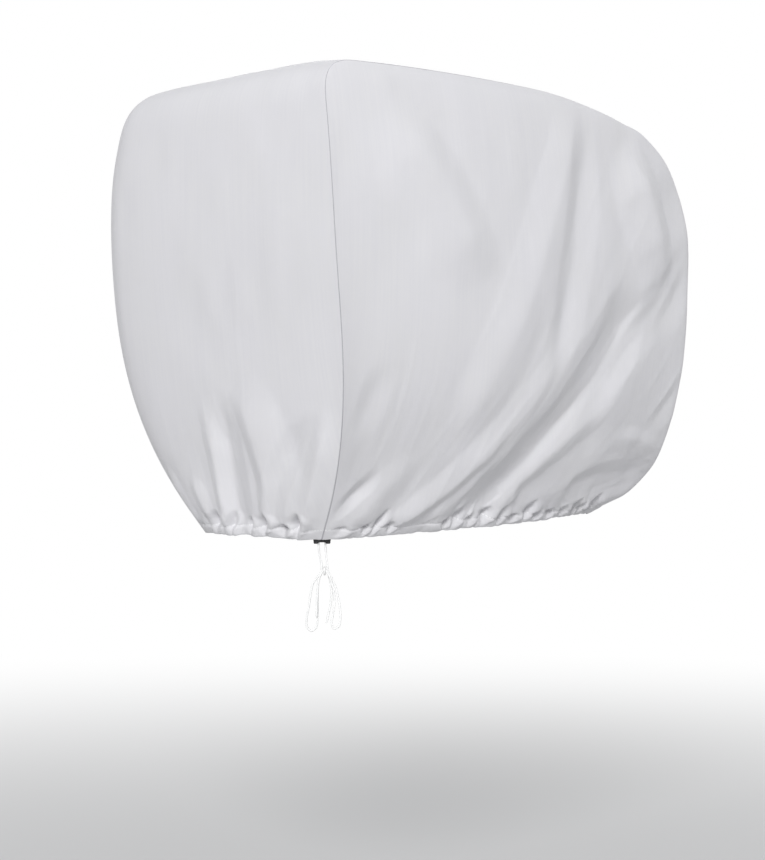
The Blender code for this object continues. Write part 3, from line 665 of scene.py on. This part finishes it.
folds = {
    "starboard": [
        # broad folds of the upper part
        ((0.12, 0.10), (0.34, 0.46), 0.02, 64, 36, 8.0, 0.3),
        ((0.61, 0.04), (0.29, 0.80), 0.02, 44, 40, 5.5, 0.7),
        ((0.63, 0.06), (0.51, 0.64), 0.03, 26, 30, -5.5, 0.3),
        ((0.75, 0.10), (0.86, 0.44), 0.04, 54, 38, 14.5, 0.5),
        ((0.88, 0.14), (0.95, 0.32), 0.05, 34, 44, -3.5, 0.1),
        ((0.95, 0.30), (0.74, 0.48), 0.03, 24, 16, 3.0, 0.4),
        ((0.98, 0.36), (0.83, 0.57), 0.02, 14, 24, -4.0, 0.5),
        ((0.56, 0.40), (0.52, 0.68), 0.00, 16, 18, -1.5, 0.4),
        # the great fold that runs down to the rear
        ((0.70, 0.46), (0.32, 0.95), 0.03, 30, 16, 2.6, 0.6),
        ((0.80, 0.44), (0.44, 0.92), 0.03, 52, 40, -16.0, 0.3),
        ((0.82, 0.44), (0.48, 0.91), 0.03, 10, 36, 2.4, 0.5),
        ((0.92, 0.40), (0.62, 0.74), 0.00, 16, 26, -3.5, 0.4),
        # thin folds to its left
        ((0.53, 0.60), (0.25, 0.96), 0.04, 26, 14, 4.0, 0.6),
        ((0.44, 0.72), (0.24, 0.97), 0.04, 22, 12, 3.0, 0.6),
        # narrow fold under it
        ((0.68, 0.72), (0.46, 0.95), 0.00, 26, 18, 4.5, 0.5),
        ((0.73, 0.73), (0.53, 0.91), 0.02, 20, 34, -6.0, 0.4),
        # folds that turn in from the front
        ((0.96, 0.84), (0.72, 0.80), -0.10, 14, 20, 4.5, 0.6),
        ((0.96, 0.88), (0.68, 0.90), -0.05, 18, 24, -5.2, 0.5),
        ((0.93, 0.91), (0.68, 0.96), 0.00, 12, 16, 3.5, 0.6),
        ((0.90, 0.94), (0.66, 0.99), 0.00, 10, 18, -5.0, 0.5),
        ((0.97, 0.62), (0.86, 0.78), 0.04, 14, 20, -3.5, 0.5),
        # beside the rear seam
        ((0.12, 0.62), (0.08, 0.80), 0.00, 18, 20, -3.0, 0.3),
        ((0.16, 0.85), (0.07, 0.97), 0.02, 12, 12, -6.0, 0.7),
        ((0.22, 0.82), (0.13, 0.97), 0.02, 20, 26, 3.4, 0.5),
    ],
    "rear": [
        ((0.40, 0.68), (0.42, 0.97), 0.03, 12, 16, 3.5, 0.6),
        ((0.54, 0.67), (0.60, 0.98), 0.14, 18, 46, 8.5, 0.5),
        ((0.50, 0.68), (0.48, 0.98), -0.03, 16, 26, -9.0, 0.3),
        ((0.92, 0.72), (0.70, 0.99), 0.04, 18, 50, 8.0, 0.6),
        ((0.86, 0.74), (0.62, 0.99), -0.10, 16, 18, -6.5, 0.4),
        ((0.30, 0.86), (0.36, 0.98), 0.00, 12, 14, 4.0, 0.6),
        ((0.16, 0.84), (0.26, 0.97), 0.00, 10, 12, 3.5, 0.6),
    ],
    "port": [
        ((0.18, 0.33), (0.56, 0.96), 0.00, 24, 30, 5.5, 0.4),
        ((0.30, 0.40), (0.63, 0.96), 0.04, 14, 18, -7.0, 0.4),
        ((0.34, 0.08), (0.26, 0.40), 0.04, 18, 24, 5.0, 0.4),
        ((0.18, 0.14), (0.14, 0.36), 0.00, 24, 14, -4.5, 0.4),
        ((0.10, 0.52), (0.38, 0.97), 0.04, 12, 12, -5.5, 0.6),
        ((0.93, 0.18), (0.75, 0.44), 0.00, 32, 32, 4.5, 0.2),
        ((0.45, 0.08), (0.70, 0.58), 0.03, 30, 18, 4.5, 0.4),
        ((0.74, 0.70), (0.77, 0.98), 0.05, 12, 14, -5.0, 0.6),
        ((0.81, 0.73), (0.82, 0.97), 0.05, 14, 10, 4.5, 0.6),
        ((0.12, 0.88), (0.32, 0.97), 0.00, 10, 14, -4.5, 0.6),
        ((0.50, 0.60), (0.68, 0.93), 0.05, 12, 10, 4.0, 0.6),
    ],
    "front": [
        ((0.80, 0.35), (0.65, 0.92), 0.05, 22, 26, -5.5, 0.4),
        ((0.60, 0.45), (0.50, 0.95), 0.00, 20, 26, 5.0, 0.4),
        ((0.27, 0.42), (0.37, 0.93), -0.05, 22, 22, -5.5, 0.4),
        ((0.45, 0.30), (0.42, 0.88), -0.05, 26, 16, 4.5, 0.4),
        ((0.88, 0.60), (0.74, 0.93), 0.00, 14, 14, 4.0, 0.5),
    ],
}

# Fine lines where the cloth is pulled: their middle in shares of the panel, how far they reach, how
# far they stand apart and their height in millimetres, and the way they run in degrees above level
pullColumns = ("middle", "reach", "angle", "spacing", "high")

pulls = {
    "starboard": [
        ((0.45, 0.82), 90, 50, 19, 0.36),
        ((0.62, 0.70), 90, 46, 22, 0.33),
        ((0.30, 0.82), 60, 66, 20, 0.33),
        ((0.78, 0.88), 80, 14, 19, 0.33),
        ((0.75, 0.66), 80, 42, 25, 0.28),
        ((0.70, 0.35), 90, 60, 30, 0.28),
        ((0.40, 0.42), 110, 62, 32, 0.25),
        ((0.90, 0.70), 70, 50, 20, 0.28),
        ((0.15, 0.80), 70, 80, 22, 0.25),
        ((0.30, 0.18), 100, -40, 38, 0.17),
    ],
    "rear": [
        ((0.60, 0.84), 70, 85, 19, 0.25),
        ((0.75, 0.88), 70, 66, 19, 0.25),
        ((0.38, 0.88), 80, 100, 19, 0.25),
        ((0.50, 0.53), 120, 90, 38, 0.14),
    ],
    "port": [
        ((0.48, 0.82), 100, 60, 19, 0.33),
        ((0.65, 0.84), 80, 50, 20, 0.33),
        ((0.26, 0.82), 90, 110, 20, 0.33),
        ((0.56, 0.53), 120, -50, 30, 0.25),
        ((0.26, 0.44), 110, 60, 30, 0.25),
        ((0.79, 0.74), 80, 20, 22, 0.28),
    ],
    "front": [
        ((0.50, 0.80), 110, 88, 20, 0.33),
        ((0.78, 0.67), 90, 75, 25, 0.28),
        ((0.22, 0.70), 90, 100, 25, 0.28),
    ],
}

# Deep pockets where the drawstring draws the hem in, and stretches of the hem without them, in shares
pocket = {
    "every": 0.024,  # mean spacing
    "deep": (0.0065, 0.0130),
    "tall": (0.012, 0.034),
    "wide": (0.0040, 0.0080),
    "lean": (0.10, 0.50),
    "apart": (0.5, 1.5),  # the least and the most of that spacing
    "calm": {
        "starboard": (0.20, 0.33), "rear": (0.05, 0.20), "port": (0.55, 0.66), "front": (0.4, 0.5),
    },
}

gather = {
    "every": 0.017,  # mean spacing of the gathers along the hem
    "deep": (0.0008, 0.0034),
    "long": (0.016, 0.060),
    "wide": (0.0035, 0.0080),
    "lean": (-0.15, 0.45),
    "apart": (0.45, 1.6),
}

# The drawstring channel, a little fuller than the cloth above, with a stitched line on top
channel = {"full": 0.0012, "lineDeep": 0.0009, "lineWide": 0.0011}

# Soft lumps that come in above the hem over a reach, and smaller ones near it that die out over one
lumpColumns = ("where", "reach", "size", "upright", "high", "seed")
lumpRows = [
    ("above", 0.05, 0.085, 1.0, 0.0010, 21),
    ("above", 0.05, 0.030, 0.5, 0.0005, 22),
    ("near", 0.15, 0.022, 0.6, 0.0011, 23),
    ("near", 0.05, 0.009, 1.0, 0.0006, 24),
]


def panelPlace(panel, spot):
    # shares of the panel as seen from outside, turned into its two coordinates
    rearX, frontX = seamCorners[1]["x"], seamCorners[3]["x"]
    rearHalf, frontHalf = halfWidth["widest"]
    left, right = {
        "starboard": (rearX, frontX),
        "port": (-frontX, -rearX),
        "rear": (-rearHalf, rearHalf),
        "front": (-frontHalf, frontHalf),
    }[panel]
    return np.array([left + spot[0] * (right - left), spot[1] * seamCorners[0]["z"]])


foldShape = {
    "steps": 24,  # along a fold's line
    "ends": 0.72,  # its width there, as a share of that in its middle
    "ridge": (0.46, 0.40),  # its rounding, and how much of that a crisp fold loses
    "foot": (0.16, 0.10),
    "spread": 2.6,  # flank widths over which it dies away
    "fade": (0.075, 0.45),  # length of its fading ends, or share of a short fold
    "toHem": 0.90,  # a fold that ends below this share runs on into the hem
}

# How far the folds' lines waver, and over what length
waver = {"broad": (0.0022, 0.060), "fine": (0.0007, 0.020)}


def foldLine(panel, fold):
    start, end = panelPlace(panel, fold["start"]), panelPlace(panel, fold["end"])
    t = np.linspace(0, 1, foldShape["steps"] + 1)
    return bowed(start, end, fold["bow"] * np.linalg.norm(end - start), t)


def foldHeight(a, b, fold, line):
    length, steps = lengthsAlong(line)[-1], foldShape["steps"]
    nearest = np.full(a.shape, np.inf)
    signed = np.zeros(a.shape)
    along = np.zeros(a.shape)
    for k in range(steps):
        start, step = line[k], line[k + 1] - line[k]
        t = ((a - start[0]) * step[0] + (b - start[1]) * step[1]) / np.dot(step, step)
        t = np.clip(t, 0, 1)
        da, db = a - start[0] - t * step[0], b - start[1] - t * step[1]
        off = np.hypot(da, db)
        closer = off < nearest
        nearest = np.where(closer, off, nearest)
        signed = np.where(closer, np.sign(step[0] * db - step[1] * da) * off, signed)
        along = np.where(closer, (k + t) / steps, along)
    left, right = 0.001 * fold["left"], 0.001 * fold["right"]
    ends = foldShape["ends"]
    swell = ends + (1 - ends) * np.sin(np.pi * np.clip(along, 0, 1))
    s = signed / np.where(signed > 0, right, left) / swell
    # a roof with its ridge rounded and its feet eased in
    rounded = (foldShape["ridge"], foldShape["foot"])
    ridge, foot = [most - less * fold["crisp"] for most, less in rounded]
    roof = 1 + ridge - np.sqrt(s * s + ridge * ridge)
    profile = (roof + np.sqrt(roof * roof + foot * foot)) / 2
    profile = profile / ((1 + np.sqrt(1 + foot * foot)) / 2) * bell((s / foldShape["spread"]) ** 2)
    fade = min(foldShape["fade"][0], foldShape["fade"][1] * length)
    lasts = ease(along * length / fade)
    if fold["end"][1] < foldShape["toHem"]:
        lasts = lasts * ease((1 - along) * length / fade)
    return 0.001 * fold["high"] * lasts * profile


def foldsOn(panel, a, b):
    # the lines waver a little, so that no fold is drawn with a ruler
    (far, wide), (little, short) = waver["broad"], waver["fine"]
    a2 = a + far * lumps(a, b, wide, 11) + little * lumps(a, b, short, 12)
    b2 = b + far * lumps(a, b, wide, 13) + little * lumps(a, b, short, 14)
    total = np.zeros(a.shape)
    for row in folds[panel]:
        fold = dict(zip(foldColumns, row))
        path = foldLine(panel, fold)
        margin = 0.0036 * max(fold["left"], fold["right"])  # 3.6 times the wider flank
        near = (a2 > path[:, 0].min() - margin) & (a2 < path[:, 0].max() + margin)
        near &= (b2 > path[:, 1].min() - margin) & (b2 < path[:, 1].max() + margin)
        total[near] += foldHeight(a2[near], b2[near], fold, path)
    return total


def pullsOn(panel, a, b):
    # wavering lines with sharp tops, fading out round their middle
    total = np.zeros(a.shape)
    for k, row in enumerate(pulls[panel]):
        pull = dict(zip(pullColumns, row))
        middle, turn = panelPlace(panel, pull["middle"]), math.radians(pull["angle"])
        da, db = a - middle[0], b - middle[1]
        along = da * math.cos(turn) + db * math.sin(turn)
        aside = db * math.cos(turn) - da * math.sin(turn)
        aside = aside + 0.004 * lumps(along, aside, 0.09, 40 + k)
        waves = lumps(aside, along / 9, 0.001 * pull["spacing"], 50 + k)
        waves = waves + 0.5 * lumps(aside, along / 7, 0.00055 * pull["spacing"], 60 + k)
        fade = np.exp(-((np.hypot(along / 1.5, aside) / (0.001 * pull["reach"])) ** 2))
        total += 0.001 * pull["high"] * fade * (0.5 - 2 * np.abs(waves))
    return total


def cusp(s):
    # a pinched line: sharp where it is lowest, round beside it
    return np.exp(-1.7 * (np.sqrt(s * s + 0.02) - 0.14))


def hemGathers(panel, a, above, low, high):
    # short uneven gathers that run up from the hem, and deeper pockets between them
    rng = random.Random(panel)
    total = np.zeros(a.shape)
    spot = low + 0.008
    while spot < high - 0.006:
        deep = rng.uniform(*gather["deep"])
        tall = rng.uniform(*gather["long"])
        wide = rng.uniform(*gather["wide"])
        lean = rng.uniform(*gather["lean"])
        off = a - spot - lean * above - 0.002 * np.sin(above / 0.011 + spot * 90)
        spread = wide * (1 + 1.1 * above / tall)
        total -= deep * cusp(off / spread) * ease(1 - above / tall)
        spot += gather["every"] * rng.uniform(*gather["apart"])
    calm = [low + share * (high - low) for share in pocket["calm"][panel]]
    across = low + 0.012
    while across < high - 0.010:
        tall, deep = rng.uniform(*pocket["tall"]), rng.uniform(*pocket["deep"])
        wide, lean = rng.uniform(*pocket["wide"]), rng.uniform(*pocket["lean"])
        step = pocket["every"] * rng.uniform(*pocket["apart"])
        if calm[0] < across < calm[1]:
            across += step
            continue
        up = (above - 0.35 * cover["hemHeight"]) / tall
        off = a - across - lean * (above - cover["hemHeight"])
        spread = wide * (0.35 + 0.85 * np.sin(np.pi * np.clip(up, 0.05, 0.95)))
        s = off / np.where(off > 0, 0.75 * spread, 1.25 * spread)
        body = ease(up / 0.30 + 0.35) * ease((1 - up) / 0.5)
        total -= deep * (0.55 * cusp(s) + 0.45 * bell(s)) * body
        total += 0.25 * deep * bell((off - 1.9 * spread) / spread) * body
        across += step
    return total


def hemShape(above):
    top, radius = cover["hemHeight"], cover["hemRadius"]
    full = channel["full"] * np.sqrt(np.clip(np.sin(np.pi * np.clip(above / top, 0, 1)), 0, 1))
    line = -channel["lineDeep"] * bell((above - top) / channel["lineWide"])
    tuck = -radius * (1 - np.sqrt(1 - np.clip(1 - above / radius, 0, 1) ** 2))
    return full + line + tuck


def clothHeight(panel, a, b, above, low, high):
    total = foldsOn(panel, a, b) * (0.35 + 0.65 * ease(above / 0.030))
    total = total + pullsOn(panel, a, b)
    total = total + hemGathers(panel, a, above, low, high) * (
        0.50 + 0.50 * ease((above - 0.6 * cover["hemHeight"]) / 0.008)
    )
    for row in lumpRows:
        lump = dict(zip(lumpColumns, row))
        up = above / lump["reach"]
        share = ease(up) if lump["where"] == "above" else ease(1 - up)
        total = total + share * lump["high"] * lumps(a, b * lump["upright"], lump["size"], lump["seed"])
    return total + hemShape(above)


def besideSeams(grid, height, *seams):
    # folds die out beside a seam, and the seam itself lies in a groove
    nearest = np.min([np.linalg.norm(grid - seam, axis=2) for seam in seams], axis=0)
    height = height * ease(nearest / cover["seamCalm"])
    deep, wide = cover["groove"]
    return nearest, height, height - deep * bell(nearest / wide)


def scalloped(grid, height, above):
    # where the hem is drawn in it also rides up
    lift = -0.30 * np.clip(height, -0.006, 0.004) * ease(1 - above / 0.020)
    grid[..., 2] += lift
    return grid


def foldedSide(side, panel):
    grid = sideSurface(side)
    outward = -side * normalsOf(grid)
    a, b = -side * grid[..., 0], grid[..., 2]
    above = b - grid[:, :1, 2]
    low, high = sorted((a[0, 0], a[-1, 0]))
    height = clothHeight(panel, a, b, above, low, high)
    nearest, height, sunk = besideSeams(grid, height, grid[:1], grid[-1:], grid[:, -1:])
    grid = scalloped(grid + outward * sunk[..., None], height, above)
    return turnedIn(grid, outward, np.stack([a, b, nearest, above], axis=2), above)


def foldedCentre():
    grid = centreSurface()
    outward = normalsOf(grid)
    turnRow = meshSize["rowsRear"] + meshSize["rowsTop"] // 2
    rear, front = grid[:turnRow], grid[turnRow:]
    heights, aboves = [], []
    for panel, part, hem in (("rear", rear, grid[:1]), ("front", front, grid[-1:])):
        a = -part[..., 1] if panel == "rear" else part[..., 1]
        b = part[..., 2]
        above = b - hem[..., 2]
        low, high = sorted((hem[0, 0, 1], hem[0, -1, 1]))
        heights.append(clothHeight(panel, a, b, above, low, high))
        aboves.append(above)
    height, above = np.concatenate(heights), np.concatenate(aboves)
    nearest, height, sunk = besideSeams(grid, height, grid[:, :1], grid[:, -1:])
    run = lengthsAlong(grid[:, grid.shape[1] // 2])
    along = np.broadcast_to(run[:, None], grid.shape[:2])
    flat = np.stack([grid[..., 1], along, nearest, above], axis=2)
    grid = scalloped(grid + outward * sunk[..., None], height, above)
    for _ in range(2):
        # one hem, and turned end for end the other; rows turned in already count as far above it
        whole = [np.swapaxes(values, 0, 1) for values in (grid, outward, flat, above)]
        rows = grid.shape[0]
        grid, flat = [np.swapaxes(values, 0, 1)[::-1] for values in turnedIn(*whole)]
        added = grid.shape[0] - rows
        outward = np.concatenate([outward[:1].repeat(added, 0), outward])[::-1]
        above = np.concatenate([above[:1].repeat(added, 0) + 1.0, above])[::-1]
    return grid, flat


def turnedIn(grid, outward, flat, above):
    # the hem goes round its lower edge and up inside the cover, as far as its stitched line
    radius, top = cover["hemRadius"], cover["hemHeight"]
    mean = above.mean(axis=0)
    # only the near half, because the centre strip ends in a hem at the far end too
    rows = [k for k in range(len(mean) // 2) if radius < mean[k] < top - 0.0005][::2]
    inner, innerFlat = [], []
    for k in rows[::-1]:
        inner.append(grid[:, k] - outward[:, k] * 2 * radius)
        innerFlat.append(flat[:, k] * (1, -1, 1, 1) + flat[:, 0] * (0, 2, 0, 0))
    for turn in (60, 30):
        swing = math.radians(turn)
        lift = np.array([0.0, 0.0, radius * (1 - math.cos(swing))])
        inner.append(grid[:, 0] - outward[:, 0] * radius * math.sin(swing) + lift)
        innerFlat.append(flat[:, 0] - (0, radius * swing, 0, 0))
    grid = np.concatenate([np.stack(inner, axis=1), grid], axis=1)
    flat = np.concatenate([np.stack(innerFlat, axis=1), flat], axis=1)
    return grid, flat


def clothPiece(name, grid, flat, look):
    # the sheet as a mesh, with two UV maps: its place on the flat cloth, and how far it is from the
    # nearest seam and the hem
    rows, columns = grid.shape[:2]
    index = np.arange(rows * columns).reshape(rows, columns)
    quads = np.stack([index[:-1, :-1], index[1:, :-1], index[1:, 1:], index[:-1, 1:]], axis=2)
    quads = quads.reshape(-1, 4)
    middle = np.array([-0.03, 0.0, -0.30])  # of the cover, to turn the faces away from
    i, j = rows // 2, columns // 2
    facing = np.cross(grid[i + 1, j] - grid[i, j], grid[i, j + 1] - grid[i, j])
    if np.dot(facing, grid[i, j] - middle) < 0:
        quads = quads[:, ::-1]
    mesh = bpy.data.meshes.new(name)
    mesh.from_pydata(grid.reshape(-1, 3).tolist(), [], quads.tolist())
    corners = np.empty(len(mesh.loops), np.int32)
    mesh.loops.foreach_get("vertex_index", corners)
    for title, values in (("weave", flat[..., :2]), ("edges", flat[..., 2:])):
        places = mesh.uv_layers.new(name=title)
        places.data.foreach_set("uv", values.reshape(-1, 2)[corners].astype(np.float32).ravel())
    mesh.shade_smooth()
    mesh.materials.append(look)
    return placed(name, mesh)


# Stage

stage = {
    "floor": -1.15,
    "floorColour": (0.55, 0.55, 0.55),
    "fade": (0.6, 3.4),  # distances between which the floor turns into the white backdrop
    "air": (0.05, 0.62),  # brightness of the surroundings, below and above
    "backdrop": 1.0,
    "key": ((-5.30, -4.10, 2.60), 2.4, 385.0),  # place, size, power
    "fill": ((4.40, 4.20, 1.60), 4.0, 120.0),
    "side": ((5.20, -4.40, 2.20), 3.0, 60.0),
}


def softLight(name, place, size, power):
    lamp = bpy.data.lights.new(name, "AREA")
    lamp.shape = "DISK"
    lamp.size = size
    lamp.energy = power
    made = placed(name, lamp)
    made.location = place
    made.rotation_mode = "QUATERNION"
    made.rotation_quaternion = (Vector(view["aim"]) - Vector(place)).to_track_quat("-Z", "Y")


def mixShaders(tree, share, one, two, end):
    mix = node(tree, "ShaderNodeMixShader")
    for socket, value in zip(mix.inputs, (share, one, two)):
        tree.links.new(value, socket)
    tree.links.new(mix.outputs["Shader"], tree.nodes[end].inputs["Surface"])


def makeStage():
    world = bpy.data.worlds.new("studio")
    bpy.context.scene.world = world
    world.use_nodes = True
    tree = world.node_tree
    air = tree.nodes["Background"]
    air.inputs["Color"].default_value = (0.97, 0.98, 1.0, 1.0)
    ways = node(tree, "ShaderNodeTexCoord")
    height = node(tree, "ShaderNodeSeparateXYZ")
    tree.links.new(ways.outputs["Generated"], height.inputs["Vector"])
    sky = node(tree, "ShaderNodeMapRange", interpolation_type="SMOOTHSTEP")
    sky.inputs["From Min"].default_value, sky.inputs["From Max"].default_value = -0.6, 0.8
    sky.inputs["To Min"].default_value, sky.inputs["To Max"].default_value = stage["air"]
    tree.links.new(height.outputs["Z"], sky.inputs["Value"])
    tree.links.new(sky.outputs["Result"], air.inputs["Strength"])
    behind = node(tree, "ShaderNodeBackground", Color=(1, 1, 1, 1), Strength=stage["backdrop"])
    seen = node(tree, "ShaderNodeLightPath").outputs["Is Camera Ray"]
    mixShaders(tree, seen, air.outputs["Background"], behind.outputs["Background"], "World Output")

    bpy.ops.mesh.primitive_circle_add(vertices=96, radius=14.0, fill_type="NGON")
    floor = bpy.context.object
    floor.name = "floor"
    floor.location = (0.0, 0.0, stage["floor"])
    look, tree, shader = newMaterial("floor_paint")
    shader.inputs["Base Color"].default_value = (*stage["floorColour"], 1.0)
    shader.inputs["Roughness"].default_value = 0.9
    white = node(tree, "ShaderNodeEmission", Color=(1, 1, 1, 1), Strength=stage["backdrop"])
    spots = node(tree, "ShaderNodeTexCoord")
    far = node(tree, "ShaderNodeVectorMath", operation="LENGTH")
    tree.links.new(spots.outputs["Object"], far.inputs[0])
    fade = node(tree, "ShaderNodeMapRange", interpolation_type="SMOOTHSTEP")
    fade.inputs["From Min"].default_value, fade.inputs["From Max"].default_value = stage["fade"]
    tree.links.new(far.outputs["Value"], fade.inputs["Value"])
    seen = node(tree, "ShaderNodeLightPath").outputs["Is Camera Ray"]
    share = maths(tree, "MULTIPLY", fade.outputs["Result"], seen)
    mixShaders(tree, share, shader.outputs["BSDF"], white.outputs["Emission"], "Material Output")
    floor.data.materials.append(look)

    for name in ("key", "fill", "side"):
        softLight(f"{name}_light", *stage[name])
    bpy.context.scene.view_settings.view_transform = "Standard"


def main():
    makeCamera()
    braid = grainyMaterial("drawstring_braid", cordLook)
    lineA = smoothRoute([besideFoot(row) for row in routeA])
    lineB = smoothRoute([besideFoot(row) for row in routeB])
    wrap = braidedTube("bow_wrap", wrapLine(), True, braid)
    cordA = braidedTube("drawstring_end_a", lineA, False, braid)
    cordB = braidedTube("drawstring_end_b", lineB, False, braid)
    say("camera and cords made")

    cloth = clothMaterial()
    sides = []
    for side, panel in ((-1, "starboard"), (1, "port")):
        grid, flat = foldedSide(side, panel)
        sides.append(clothPiece(f"{panel}_panel", grid, flat, cloth))
        say(f"{panel} panel folded")
    grid, flat = foldedCentre()
    centre = clothPiece("centre_strip", grid, flat, cloth)
    say("centre panel folded")

    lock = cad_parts["cord_lock"]
    lock.data.materials.clear()
    lock.data.materials.append(grainyMaterial("lock_plastic_black", lockLook))

    for piece, cadNode, slot in (
        (sides[0], "side_panel_starboard", "cover_cloth"),
        (sides[1], "side_panel_port", "cover_cloth"),
        (centre, "centre_panel", "cover_cloth"),
        (cordA, "drawstring_a", "drawstring_cord"),
        (cordB, "drawstring_b", "drawstring_cord"),
        (wrap, "bow_knot", "drawstring_cord"),
    ):
        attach(piece, "root")
        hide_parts(cadNode)
    makeStage()
    say("stage lit")


main()
